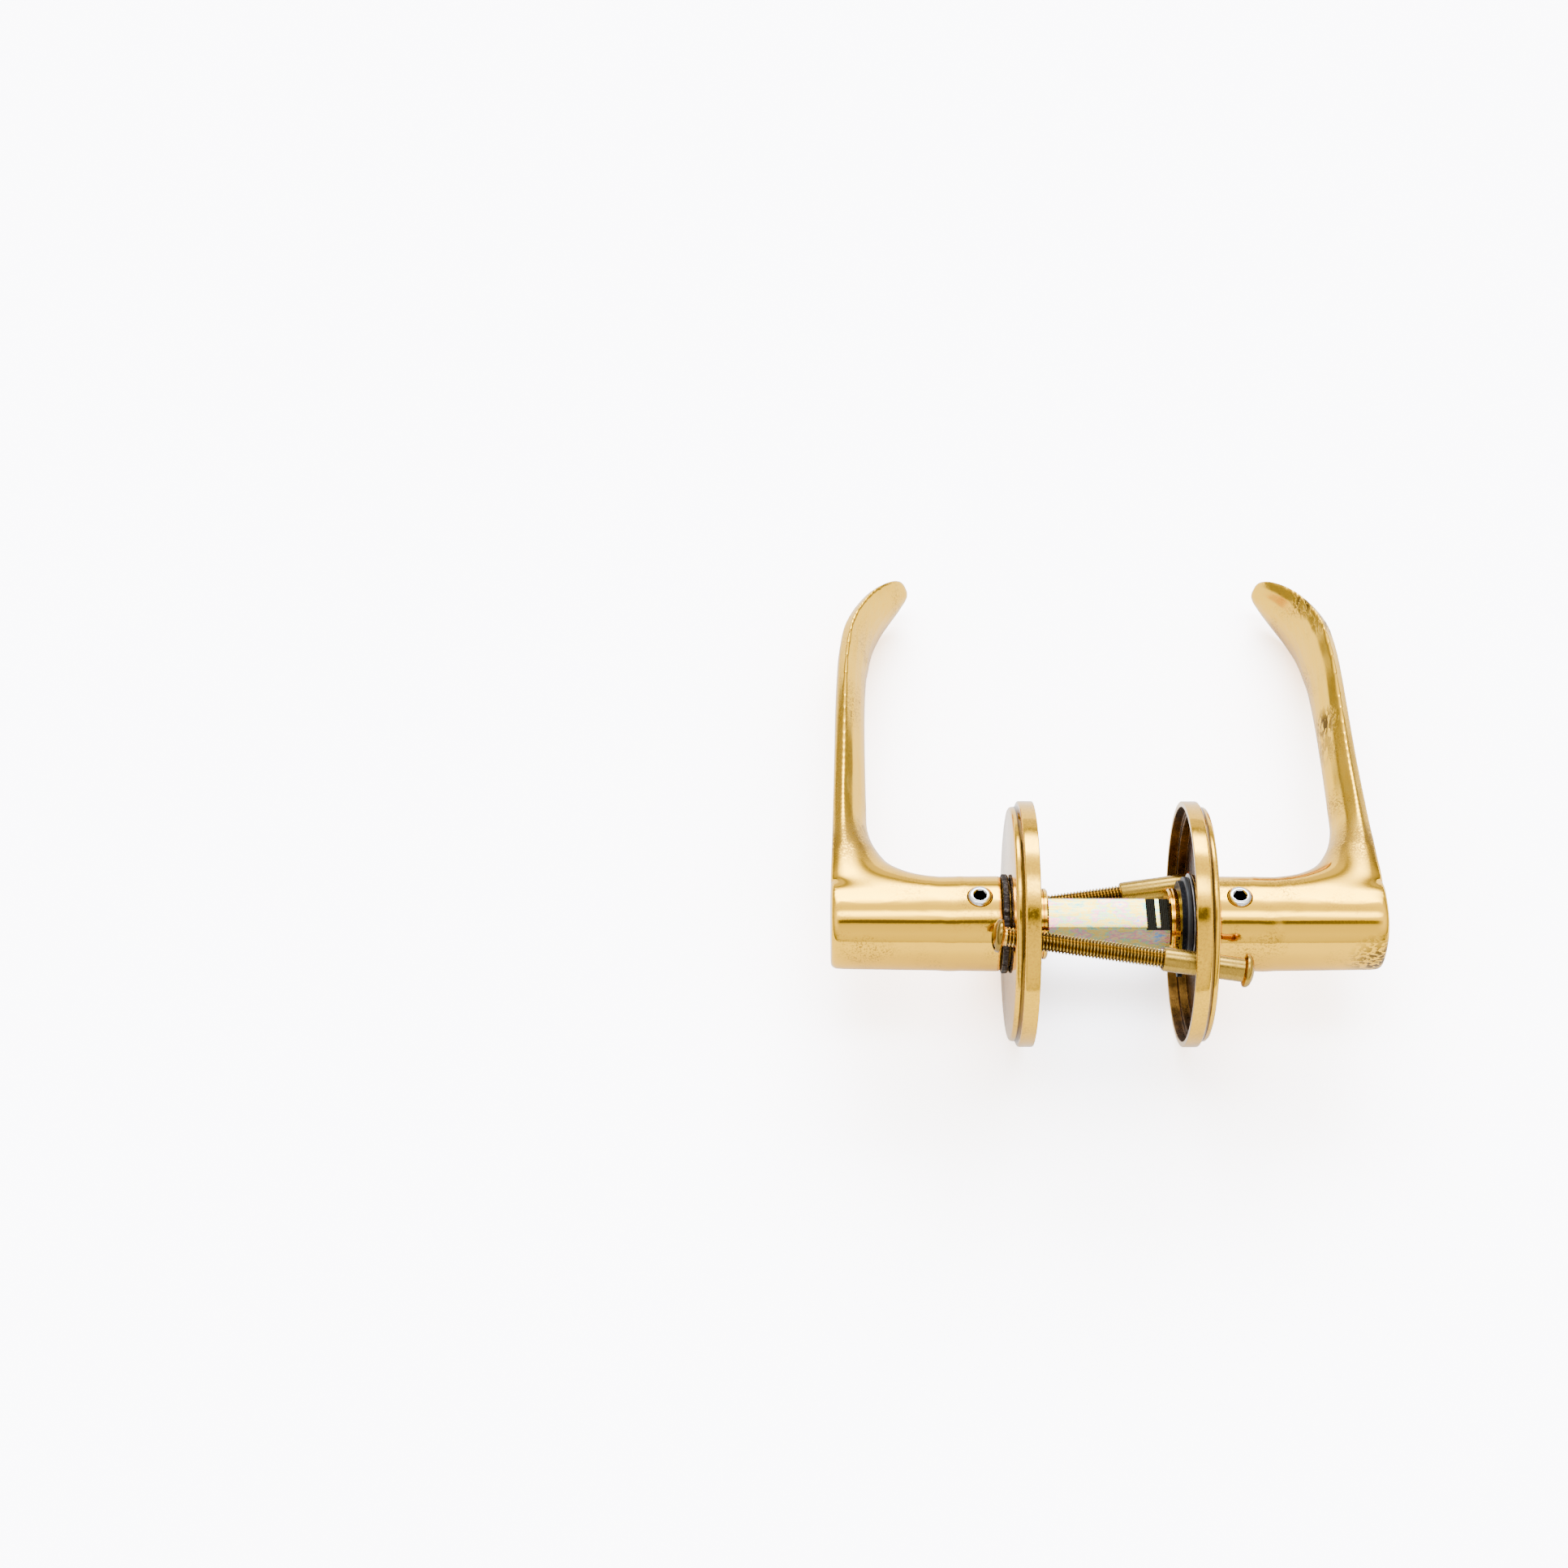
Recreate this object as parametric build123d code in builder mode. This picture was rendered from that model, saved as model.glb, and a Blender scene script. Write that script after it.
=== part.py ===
"""Lever handle set for an interior door: two levers on round roses, one spindle, two through-bolts.

+X runs along the spindle, the grips point to +Y and +Z is up. The origin is on the spindle's axis,
midway between the roses. The set lies as it does on a table: on the rims of its roses and the tips
of its grips. The two sides mirror each other, apart from the marked end of the spindle and the
bolts, which lean because the roses are turned a little against each other.
"""
import os
from math import asin, atan2, cos, degrees, hypot, pi, radians, sin

from build123d import *

os.makedirs("parts", exist_ok=True)

# ---- driving dimensions, mm and degrees -------------------------------------------------------
# roses
rose_gap = 31.6             # between the two rims, where the door would be
rose_diameter = 52.0
rose_depth = 5.0            # from the rim to the front face
rose_wall = 1.2
rose_band = 3.2             # width of the outer band, before the step
rose_step = 1.2             # how far the front plate stands inside the band
rose_edge_radius = 1.0

# bush, and the rings that hold the lever in the rose
journal_diameter = 15.0
running_clearance = 0.05    # radial, between journal and bush
axial_play = 0.05
bush_wall = 1.7
bush_proud = 0.15           # beyond the rose's front face
bush_collar = 1.2           # radial, behind the rose's plate
bush_length = 3.25
steel_washer_width = 3.25   # radial, from the journal
steel_washer_thickness = 0.5
black_washer_width = 2.5
black_washer_thickness = 1.15
circlip_width = 2.2         # radial, from the floor of its groove
circlip_thickness = 1.0
circlip_groove_depth = 0.5
circlip_gap = 3.4           # opening between the ends
circlip_ear_radius = 1.5
circlip_ear_hole_radius = 0.65
circlip_ear_turn = 240.0    # where the ears point, round the journal from the grip
journal_end_margin = 2.25   # beyond the circlip groove
outer_washer_width = 3.0
outer_washer_thickness = 1.4

# spindle
spindle_side = 8.0
spindle_length = 80.0
spindle_corner_radius = 0.5
spindle_clearance = 0.04    # each side, in the lever's bore
notch_width = 2.0
notch_pitch = 2.8
notch_depth = 0.6
notch_centre = 10.5         # middle of the pair, along the spindle

# lever
neck_length = 35.9          # from the washer to the outer face
neck_along = 18.6           # the neck's section, along the grip
neck_across = 19.4          # and across it
bore_end_wall = 12.0        # solid brass left at the blind end of the square bore
bend_centre = 24.0          # from the outer face and from the spindle's axis alike
bend_inner_radius = 15.0
bend_sink = 0.6             # the bend starts this far under the neck's skin
corner_overshoot = 1.2      # the bend is lofted past the outer face, then cut flat

# along the grip: distance from the spindle's axis, centre behind the outer face, lean of the
# centreline towards the door, thickness, height
GRIP_STATIONS = [
    (24.0, 4.5, 0.0, 7.4, 13.6),
    (40.0, 4.6, 0.5, 6.6, 13.0),
    (55.0, 4.8, 1.5, 6.4, 15.6),
    (68.0, 5.3, 6.0, 6.6, 19.4),
    (76.5, 6.6, 18.0, 6.8, 21.0),
    (83.5, 9.3, 31.0, 6.5, 19.8),
    (89.3, 12.9, 39.0, 5.8, 16.4),
    (93.3, 16.1, 43.0, 4.6, 11.0),
    (95.3, 17.9, 45.0, 2.6, 5.0),
]
SECTION_ROUNDING = 0.46     # corner radius of a section, as a share of its thickness

# grub screws
grub_diameter = 5.0
grub_clearance = 0.05
grub_from_washer = 4.8
grub_proud = 0.6
grub_socket_flats = 2.5
grub_socket_depth = 2.6
grub_rim_chamfer = 0.5

# through-bolts: a slotted screw and a slotted sleeve nut
bolt_circle_radius = 19.0
bolt_turn_left = 124.0      # from +Y, up and over, at the left rose
bolt_turn_right = 142.0     # and at the right rose
screw_diameter = 4.0
screw_fit = 0.05            # radial, in the sleeve nut's bore
sleeve_diameter = 5.0
sleeve_length = 17.0
sleeve_end_wall = 0.6       # solid under the sleeve nut's head
bolt_hole_clearance = 0.4   # radial, for a sleeve that leans
head_diameter = 7.0
head_height = 2.0
head_rim = 0.5              # straight rim under the dome
slot_width = 1.0
slot_depth = 0.9
screw_standoff = 2.7        # from the left rose's face to the screws' heads
sleeve_standoffs = {"front": 5.8, "rear": 1.0}     # from the right rose's face to the sleeve's head
screw_end_room = 0.2        # bore left beyond the screw in the nut that is home, the rear one

# ---- worked out from those --------------------------------------------------------------------
rose_radius = rose_diameter / 2
rim_plane = rose_gap / 2
rose_face = rim_plane + rose_depth
plate_back = rose_face - rose_wall
plate_radius = rose_radius - rose_step
journal_radius = journal_diameter / 2
groove_radius = journal_radius - circlip_groove_depth
bush_bore_radius = journal_radius + running_clearance
bush_radius = bush_bore_radius + bush_wall
bush_outer_end = rose_face + bush_proud
bush_inner_end = bush_outer_end - bush_length
outer_washer_start = bush_outer_end + axial_play
shoulder = outer_washer_start + outer_washer_thickness
outer_face = shoulder + neck_length
steel_washer_start = bush_inner_end - axial_play - steel_washer_thickness
black_washer_start = steel_washer_start - black_washer_thickness
circlip_start = black_washer_start - circlip_thickness
groove_start = circlip_start - axial_play
journal_end = groove_start - journal_end_margin
bore_half = spindle_side / 2 + spindle_clearance
plate_middle = rose_face - rose_wall / 2

# the angle at which the first grip section reaches the surface that the rims stand on
rest_droop = min(
    asin(rose_radius / hypot(u, height / 2)) - atan2(height / 2, u)
    for u, _, _, _, height in GRIP_STATIONS if u > rose_radius
)
grip_way = Vector(0, cos(rest_droop), -sin(rest_droop))
grip_up = Vector(0, sin(rest_droop), cos(rest_droop))
SIDES = {"left": -1, "right": 1}


def facing(side, distance):
    """The plane across the spindle at a distance from the middle, looking outwards."""
    return Plane(origin=(side * distance, 0, 0), x_dir=grip_way, z_dir=(side, 0, 0))


def in_lever(side, behind, along):
    """A point of the lever: behind its outer face, and along the grip from the spindle."""
    return Vector(side * (outer_face - behind), 0, 0) + grip_way * along


def lever_way(side, inwards, along):
    """A direction of the lever, from its parts towards the door and along the grip."""
    return Vector(-side * inwards, 0, 0) + grip_way * along


def save(part, name):
    part.label = name
    export_step(part, f"parts/{name}.step")


# ---- roses and their bushes --------------------------------------------------------------------
def bolt_spot(end, place):
    """Where a bolt's axis goes through the middle of a rose's plate."""
    turn = radians(bolt_turn_left if end == "left" else bolt_turn_right)
    if place == "rear":
        turn += pi
    return Vector(SIDES[end] * plate_middle, bolt_circle_radius * cos(turn), bolt_circle_radius * sin(turn))


for end, side in SIDES.items():
    with BuildPart() as rose:
        with BuildSketch(Plane.XY):
            Polygon(
                (side * rim_plane, rose_radius),
                (side * (rim_plane + rose_band), rose_radius),
                (side * (rim_plane + rose_band), plate_radius),
                (side * rose_face, plate_radius),
                (side * rose_face, bush_radius),
                (side * plate_back, bush_radius),
                (side * plate_back, plate_radius - rose_wall),
                (side * (rim_plane + rose_band - rose_wall), plate_radius - rose_wall),
                (side * (rim_plane + rose_band - rose_wall), rose_radius - rose_wall),
                (side * rim_plane, rose_radius - rose_wall),
                align=None,
            )
        revolve(axis=Axis.X)
        rims = rose.edges().filter_by(GeomType.CIRCLE)
        fillet([e for e in rims if abs(e.radius - plate_radius) < 0.01
                and abs(abs(e.center().X) - rose_face) < 0.01], rose_edge_radius)
        for place in ("front", "rear"):
            spot = bolt_spot(end, place)
            with BuildSketch(Plane(origin=(side * plate_back, spot.Y, spot.Z), z_dir=(side, 0, 0))):
                Circle(sleeve_diameter / 2 + bolt_hole_clearance)
            extrude(amount=rose_wall, mode=Mode.SUBTRACT)
    save(rose.part, f"rose_{end}")

    with BuildPart() as bush:
        with BuildSketch(Plane.XY):
            Polygon(
                (side * bush_inner_end, bush_bore_radius),
                (side * bush_outer_end, bush_bore_radius),
                (side * bush_outer_end, bush_radius),
                (side * plate_back, bush_radius),
                (side * plate_back, bush_radius + bush_collar),
                (side * bush_inner_end, bush_radius + bush_collar),
                align=None,
            )
        revolve(axis=Axis.X)
    save(bush.part, f"rose_bush_{end}")


# ---- rings on the lever's journal --------------------------------------------------------------
def ring(side, start, thickness, width):
    """A flat ring round the journal."""
    with BuildPart() as washer:
        with BuildSketch(facing(side, start)):
            Circle(journal_radius + width)
            Circle(journal_radius, mode=Mode.SUBTRACT)
        extrude(amount=thickness)
    return washer.part


for end, side in SIDES.items():
    save(ring(side, outer_washer_start, outer_washer_thickness, outer_washer_width), f"outer_washer_{end}")
    save(ring(side, steel_washer_start, steel_washer_thickness, steel_washer_width), f"steel_washer_{end}")
    save(ring(side, black_washer_start, black_washer_thickness, black_washer_width), f"black_washer_{end}")

    circlip_radius = groove_radius + circlip_width
    ear_ring_radius = circlip_radius + circlip_ear_radius * 0.4
    ear_half_turn = degrees(atan2(circlip_gap / 2 + circlip_ear_radius, ear_ring_radius))
    with BuildPart() as circlip:
        with BuildSketch(facing(side, circlip_start)):
            Circle(circlip_radius)
            Circle(groove_radius, mode=Mode.SUBTRACT)
            with Locations(Location((0, 0, 0), (0, 0, side * circlip_ear_turn))):
                with Locations((circlip_radius, 0)):
                    Rectangle(circlip_radius, circlip_gap, mode=Mode.SUBTRACT)
                for way in (-1, 1):
                    with PolarLocations(ear_ring_radius, 1, start_angle=way * ear_half_turn):
                        Circle(circlip_ear_radius)
                        Circle(circlip_ear_hole_radius, mode=Mode.SUBTRACT)
        extrude(amount=circlip_thickness)
    save(circlip.part, f"circlip_{end}")


# ---- spindle -----------------------------------------------------------------------------------
with BuildPart() as spindle:
    with BuildSketch(facing(1, -spindle_length / 2)):
        RectangleRounded(spindle_side, spindle_side, spindle_corner_radius)
    extrude(amount=spindle_length)
    for way in (-1, 1):
        middle = notch_centre + way * notch_pitch / 2
        face_centre = Vector(middle, 0, 0) + grip_up * (spindle_side / 2)
        with BuildSketch(Plane(origin=face_centre, x_dir=(1, 0, 0), z_dir=grip_up)):
            Rectangle(notch_width, spindle_side * 1.5)
        extrude(amount=-notch_depth, mode=Mode.SUBTRACT)
save(spindle.part, "spindle")


# ---- levers and their grub screws --------------------------------------------------------------
def bend_stations():
    """Sections that turn from the neck into the grip, about the bend's centre."""
    neck_reach = bend_centre + neck_along / 2
    corner_reach = bend_centre + corner_overshoot
    reaches = {
        0: (bend_inner_radius + bend_sink, neck_reach - bend_sink, neck_across - 2 * bend_sink),
        22.5: (bend_inner_radius + bend_sink / 2, neck_reach - bend_sink, neck_across - 2 * bend_sink),
        45: (bend_inner_radius, corner_reach / cos(pi / 4), neck_across * 0.88),
        67.5: (bend_inner_radius, corner_reach / sin(radians(67.5)), neck_across * 0.8),
    }
    for turn, (inner, outer, height) in reaches.items():
        reach = (inner + outer) / 2
        angle = radians(turn)
        yield (bend_centre - reach * sin(angle), bend_centre - reach * cos(angle),
               (-sin(angle), -cos(angle)), (-cos(angle), sin(angle)), outer - inner, height)


for end, side in SIDES.items():
    with BuildPart() as lever:
        # the arm: from the neck round the bend, then along the grip to its tip
        for behind, along, outwards, onwards, thickness, height in bend_stations():
            section = Plane(origin=in_lever(side, behind, along), x_dir=lever_way(side, *outwards),
                            z_dir=lever_way(side, *onwards))
            with BuildSketch(section):
                RectangleRounded(thickness, height, min(thickness, height) * SECTION_ROUNDING)
        for along, behind, lean, thickness, height in GRIP_STATIONS:
            angle = radians(lean)
            section = Plane(origin=in_lever(side, behind, along), x_dir=lever_way(side, -cos(angle), sin(angle)),
                            z_dir=lever_way(side, sin(angle), cos(angle)))
            with BuildSketch(section):
                RectangleRounded(thickness, height, thickness * SECTION_ROUNDING)
        loft()
        # neck, then one flat outer face across it and the bend
        with BuildSketch(facing(side, shoulder)):
            RectangleRounded(neck_along, neck_across, neck_along * SECTION_ROUNDING)
        extrude(amount=neck_length + corner_overshoot)
        with BuildSketch(facing(side, outer_face)):
            Rectangle(4 * bend_centre, 2 * neck_across)
        extrude(amount=3 * corner_overshoot, mode=Mode.SUBTRACT)
        # the journal that turns in the bush, with its groove
        with BuildSketch(facing(side, journal_end)):
            Circle(journal_radius)
        extrude(amount=shoulder - journal_end)
        with BuildSketch(facing(side, groove_start)):
            Circle(journal_radius + 1)
            Circle(groove_radius, mode=Mode.SUBTRACT)
        extrude(amount=circlip_thickness + axial_play, mode=Mode.SUBTRACT)
        # blind square bore and the threaded hole over it
        with BuildSketch(facing(side, journal_end)):
            Rectangle(2 * bore_half, 2 * bore_half)
        extrude(amount=outer_face - bore_end_wall - journal_end, mode=Mode.SUBTRACT)
        with BuildSketch(Plane(origin=(side * (shoulder + grub_from_washer), 0, 0), z_dir=grip_up)):
            Circle(grub_diameter / 2 + grub_clearance)
        extrude(amount=neck_across, mode=Mode.SUBTRACT)
    save(lever.part, f"lever_{end}")

    grub_foot = Vector(side * (shoulder + grub_from_washer), 0, 0) + grip_up * (spindle_side / 2)
    grub_length = neck_across / 2 + grub_proud - spindle_side / 2
    with BuildPart() as grub:
        with BuildSketch(Plane(origin=grub_foot, x_dir=(1, 0, 0), z_dir=grip_up)):
            Circle(grub_diameter / 2)
        extrude(amount=grub_length)
        top = grub.faces().sort_by(Axis(grub_foot, grip_up))[-1]
        chamfer(top.edges(), grub_rim_chamfer)
        with BuildSketch(Plane(origin=grub_foot + grip_up * grub_length, x_dir=(1, 0, 0), z_dir=grip_up)):
            RegularPolygon(grub_socket_flats / 2, 6, major_radius=False)
        extrude(amount=-grub_socket_depth, mode=Mode.SUBTRACT)
    save(grub.part, f"grub_screw_{end}")


# ---- through-bolts -----------------------------------------------------------------------------
def fastener(underside, way, shank_radius, shank_length, bore_radius=0.0, bore_length=0.0):
    """A slotted domed head and its shank, made along the X axis, then laid along way."""
    with BuildPart() as turned:
        with BuildSketch(Plane.YZ.offset(-head_height)):
            Circle(head_diameter / 2)
        extrude(amount=head_height)
        fillet(turned.edges().filter_by(GeomType.CIRCLE).sort_by(Axis.X)[0], head_height - head_rim)
        with BuildSketch(Plane.YZ):
            Circle(shank_radius)
        extrude(amount=shank_length)
        with BuildSketch(Plane.YZ.offset(-head_height)):
            Rectangle(head_diameter * 1.5, slot_width)
        extrude(amount=slot_depth, mode=Mode.SUBTRACT)
        if bore_length:
            with BuildSketch(Plane.YZ.offset(shank_length)):
                Circle(bore_radius)
            extrude(amount=-bore_length, mode=Mode.SUBTRACT)
    laid = Plane(origin=underside, x_dir=way, z_dir=Vector(0, 0, 1) - way * way.Z)
    return laid.location * turned.part


def bolt_line(place):
    """Unit way from a bolt's hole in the left rose to the one in the right, and the distance."""
    span = bolt_spot("right", place) - bolt_spot("left", place)
    return span.normalized(), span.length


# the screws are alike: each reaches as far as the rear nut's bore allows
rightwards, span = bolt_line("rear")
outside_left = (screw_standoff + rose_face - plate_middle) / rightwards.X
outside_right = (sleeve_standoffs["rear"] + rose_face - plate_middle) / rightwards.X
screw_length = outside_left + span + outside_right - sleeve_end_wall - screw_end_room

for place in ("front", "rear"):
    rightwards, span = bolt_line(place)
    screw = fastener(bolt_spot("left", place) - rightwards * outside_left, rightwards, screw_diameter / 2,
                     screw_length)
    save(screw, f"bolt_screw_{place}")

    outside_right = (sleeve_standoffs[place] + rose_face - plate_middle) / rightwards.X
    sleeve = fastener(bolt_spot("right", place) + rightwards * outside_right, -rightwards, sleeve_diameter / 2,
                      sleeve_length, screw_diameter / 2 + screw_fit, sleeve_length - sleeve_end_wall)
    save(sleeve, f"sleeve_nut_{place}")

print(f"grips droop {degrees(rest_droop):.2f} degrees; outer faces {2 * outer_face:.1f} mm apart")
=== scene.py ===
"""Lever handle set for an interior door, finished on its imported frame.

Two cast levers on round roses, a square spindle and two slotted through-bolts lie on a pale table.
Everything is in metres in the frame's own axes: +X along the spindle, the grips point to +Y, +Z up.
Sizes that are written in millimetres are named so and scaled once, where a mesh is made.
"""

import math

import bpy
import numpy as np
from bpy.props import FloatProperty, FloatVectorProperty, PointerProperty
from mathutils import Matrix, Vector, noise


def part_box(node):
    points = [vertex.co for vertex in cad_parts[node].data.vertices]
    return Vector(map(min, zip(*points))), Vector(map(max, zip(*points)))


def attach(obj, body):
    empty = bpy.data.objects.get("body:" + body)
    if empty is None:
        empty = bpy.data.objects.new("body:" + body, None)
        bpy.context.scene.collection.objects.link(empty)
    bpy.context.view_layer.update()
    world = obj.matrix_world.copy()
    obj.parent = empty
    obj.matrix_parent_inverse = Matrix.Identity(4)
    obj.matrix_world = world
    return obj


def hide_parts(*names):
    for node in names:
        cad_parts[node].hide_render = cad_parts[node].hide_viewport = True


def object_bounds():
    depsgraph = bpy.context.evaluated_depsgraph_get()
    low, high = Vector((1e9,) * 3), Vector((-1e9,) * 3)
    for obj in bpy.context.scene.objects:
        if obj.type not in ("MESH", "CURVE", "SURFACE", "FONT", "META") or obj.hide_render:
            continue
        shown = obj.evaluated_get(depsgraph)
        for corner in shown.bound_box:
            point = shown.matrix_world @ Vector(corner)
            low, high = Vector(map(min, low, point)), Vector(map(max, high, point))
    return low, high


bl_info = {
    "name": "Lever handle set",
    "version": (1, 0, 0),
    "blender": (4, 5, 0),
    "location": "View3D > Sidebar > Handles",
    "description": "Cast brass lever handles on round roses, with their spindle and through-bolts",
    "category": "Add Mesh",
}

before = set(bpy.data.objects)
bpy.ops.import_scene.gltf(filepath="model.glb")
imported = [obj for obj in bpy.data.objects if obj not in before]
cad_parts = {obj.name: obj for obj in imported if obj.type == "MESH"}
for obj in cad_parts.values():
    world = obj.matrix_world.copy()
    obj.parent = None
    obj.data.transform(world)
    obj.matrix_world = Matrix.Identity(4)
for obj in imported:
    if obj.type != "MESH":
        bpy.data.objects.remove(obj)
FRAME_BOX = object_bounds()
MM = 0.001
SIDES = {"left": -1, "right": 1}


def node_reach(node):
    """Smallest and largest distance of a frame node from the middle of the spindle, in mm."""
    low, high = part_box(node)
    near, far = sorted((abs(low.x), abs(high.x)))
    return near / MM, far / MM


RIM, ROSE_FACE = node_reach("rose_right")
BUSH_INNER, BUSH_OUTER = node_reach("rose_bush_right")
JOURNAL_END, OUTER_FACE = node_reach("lever_right")
WASHER_START, SHOULDER = node_reach("outer_washer_right")
STEEL_START, STEEL_END = node_reach("steel_washer_right")
BLACK_START, BLACK_END = node_reach("black_washer_right")
CLIP_START, CLIP_END = node_reach("circlip_right")
# halfway between the two sawn marks in the spindle, mm
NOTCH_MIDDLE = 10.5
# room each side of the spindle in a lever's bore, and radial room between parts that turn or screw
# in each other, mm
SPINDLE_ROOM = 0.04
RUNNING_FIT = 0.05
# solid brass at the blind end of the square bore, mm
BORE_END_WALL = 12.0
# the screws under their heads, and how far the sleeve nuts' heads stand off the right rose, mm
SCREW_LENGTH = 44.98
SLEEVE_STANDOFFS = {"front": 5.8, "rear": 1.0}
# where film stays in the pores at the root of each grip, and where the levers were knocked:
# x, y, z and radius, mm
GRIP_ROOTS = ((-54.5, 18.0, 4.0, 9.0), (54.5, 18.0, 4.0, 9.0))
KNOCKS = ((46.0, 47.0, -5.5, 8.0), (57.0, -9.0, 1.0, 8.0), (49.5, 84.0, -7.0, 4.5),
          (54.5, 77.5, -7.0, 4.0), (50.5, 52.0, -6.0, 5.0), (47.0, 29.0, -2.0, 5.0),
          (-47.0, 70.0, -9.0, 4.0), (-49.0, 24.0, 1.0, 4.0))


# ---- sizes and colours a user would change ------------------------------------------------------
def length(name, description, default):
    """A length property, in mm."""
    return FloatProperty(name=name, description=description + ", mm", default=default, min=0.0)


def angle(name, description, degrees):
    """An angle property, in degrees."""
    return FloatProperty(name=name, description=description, default=math.radians(degrees),
                         subtype="ANGLE")


def srgb(text):
    """An sRGB hex colour as linear red, green, blue and alpha."""
    parts = (int(text[i:i + 2], 16) / 255 for i in (1, 3, 5))
    return (*(c / 12.92 if c <= 0.04045 else ((c + 0.055) / 1.055) ** 2.4 for c in parts), 1.0)


def colour(name, description, text):
    """A colour property, from sRGB hex."""
    return FloatVectorProperty(name=name, description=description, subtype="COLOR", size=4,
                               min=0.0, max=1.0, default=srgb(text))


class LeverSetSizes(bpy.types.PropertyGroup):
    """Sizes of the set that its frame doesn't give."""
    droop: angle("Droop", "How far the grips point below level as the set lies", 11.25)
    rose_radius: length("Rose radius", "Outer radius of the roses", 26.0)
    rose_wall: length("Rose wall", "Thickness of the pressed rose", 1.2)
    rose_band: length("Rose band", "Width of the outer band", 3.2)
    rose_step: length("Rose step", "How far the front plate stands inside the band", 1.2)
    journal_radius: length("Journal radius", "Radius of the lever's journal", 7.5)
    journal_groove: length("Journal groove", "Depth of the circlip's groove", 0.5)
    neck_along: length("Neck, along", "Neck's size along the grip", 18.6)
    neck_across: length("Neck, across", "Neck's size across the grip", 19.4)
    casting_grain: length("Casting grain", "Size of the cells that the lever is cast from", 0.3)
    spindle_side: length("Spindle side", "Side of the square spindle", 8.0)
    spindle_length: length("Spindle length", "Length of the spindle", 80.0)
    grub_radius: length("Grub screw radius", "Radius of the grub screws", 2.5)
    grub_from_shoulder: length("Grub screw place", "From the neck's shoulder to it", 4.8)
    grub_proud: length("Grub screw proud", "How far it stands above the neck", 0.6)
    bolt_circle: length("Bolt circle radius", "Radius that the bolts' holes lie on", 19.0)
    bolt_turn_left: angle("Bolt turn, left", "Front bolt's turn from +Y at the left rose", 124.0)
    bolt_turn_right: angle("Bolt turn, right", "Front bolt's turn from +Y at the right rose", 142.0)
    screw_radius: length("Bolt radius", "Outer radius of the bolts' thread", 2.0)
    screw_pitch: length("Bolt pitch", "Pitch of the bolts' thread", 0.7)
    sleeve_radius: length("Sleeve radius", "Radius of the sleeve nuts", 2.5)
    sleeve_length: length("Sleeve length", "Length of the sleeve nuts under the head", 17.0)
    head_radius: length("Head radius", "Radius of the bolts' heads", 3.5)
    screw_standoff: length("Bolt standoff", "From the left rose to the bolts' heads", 2.7)


class LeverSetColours(bpy.types.PropertyGroup):
    """Colours of the set's finishes."""
    brass: colour("Brass", "Polished brass", "#F1B726")
    brass_pale: colour("Brass, brushed", "Paler brushed brass", "#EFBC3C")
    # this brown is also painted on the outer side of each grip as painted shade
    tarnish_and_shade: colour("Tarnish", "Brown film in the corners of old brass", "#6B4A1C")
    bolt_brass: colour("Bolt brass", "Shade-painted rolled brass thread", "#F0C658")
    nickel: colour("Nickel", "Bright nickel plate", "#D9D7D3")
    washer: colour("Washer", "Darkened steel washer", "#2B2624")
    table: colour("Table", "Pale table top, as it shows in the brass", "#F6F5F3")


def sizes():
    return bpy.context.scene.lever_set_sizes


def colours():
    return bpy.context.scene.lever_set_colours


# ---- meshes -------------------------------------------------------------------------------------
def mesh_object(name, points, faces):
    """A new object from points in mm."""
    mesh = bpy.data.meshes.new(name)
    mesh.from_pydata((np.asarray(points, float) * MM).tolist(), [], faces)
    mesh.validate()
    made = bpy.data.objects.new(name, mesh)
    bpy.context.scene.collection.objects.link(made)
    return made


def volume(points, faces):
    """Signed volume inside a closed set of faces."""
    total = 0.0
    for face in faces:
        a = points[face[0]]
        for b, c in zip(face[1:-1], face[2:]):
            total += np.dot(a, np.cross(points[b], points[c]))
    return total


def outwards(points, faces):
    """The same faces, turned so that they all look out of the solid."""
    return faces if volume(points, faces) > 0 else [tuple(reversed(f)) for f in faces]


def skin(rings, capped=True, looped=False):
    """Points and faces over a row of closed rings, with end caps or joined end to start."""
    rings = np.asarray(rings, float)
    rows, count = rings.shape[:2]
    points = rings.reshape(-1, 3)
    faces = []
    for i in range(rows if looped else rows - 1):
        a, b = i * count, (i + 1) % rows * count
        faces += [(a + j, a + (j + 1) % count, b + (j + 1) % count, b + j) for j in range(count)]
    if capped and not looped:
        faces += [tuple(reversed(range(count))), tuple(range((rows - 1) * count, rows * count))]
    return points, outwards(points, faces)


def softened(corners, steps=4):
    """A closed outline from (x, r, rounding) corners, each rounded by its own radius."""
    outline = []
    for i, (x, r, rounding) in enumerate(corners):
        here = np.array((x, r), float)
        before = np.array(corners[i - 1][:2], float) - here
        after = np.array(corners[(i + 1) % len(corners)][:2], float) - here
        if not rounding:
            outline.append(here)
            continue
        before, after = before / np.linalg.norm(before), after / np.linalg.norm(after)
        half = math.acos(np.clip(np.dot(before, after), -1, 1)) / 2
        inwards = (before + after) / np.linalg.norm(before + after)
        middle = here + inwards * rounding / math.sin(half)
        start, end = (here + way * rounding / math.tan(half) - middle for way in (before, after))
        sweep = math.acos(np.clip(np.dot(start, end) / rounding ** 2, -1, 1))
        for k in range(steps + 1):
            share = k / steps
            outline.append(middle + (math.sin((1 - share) * sweep) * start
                                     + math.sin(share * sweep) * end) / math.sin(sweep))
    return outline


def around(count):
    """Angles of that many points around a circle."""
    return np.arange(count) * 2 * math.pi / count


def hoop(x, r, turns):
    """A ring of points about the X axis."""
    return np.stack((np.full(len(turns), x), r * np.cos(turns), r * np.sin(turns)), 1)


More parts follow.
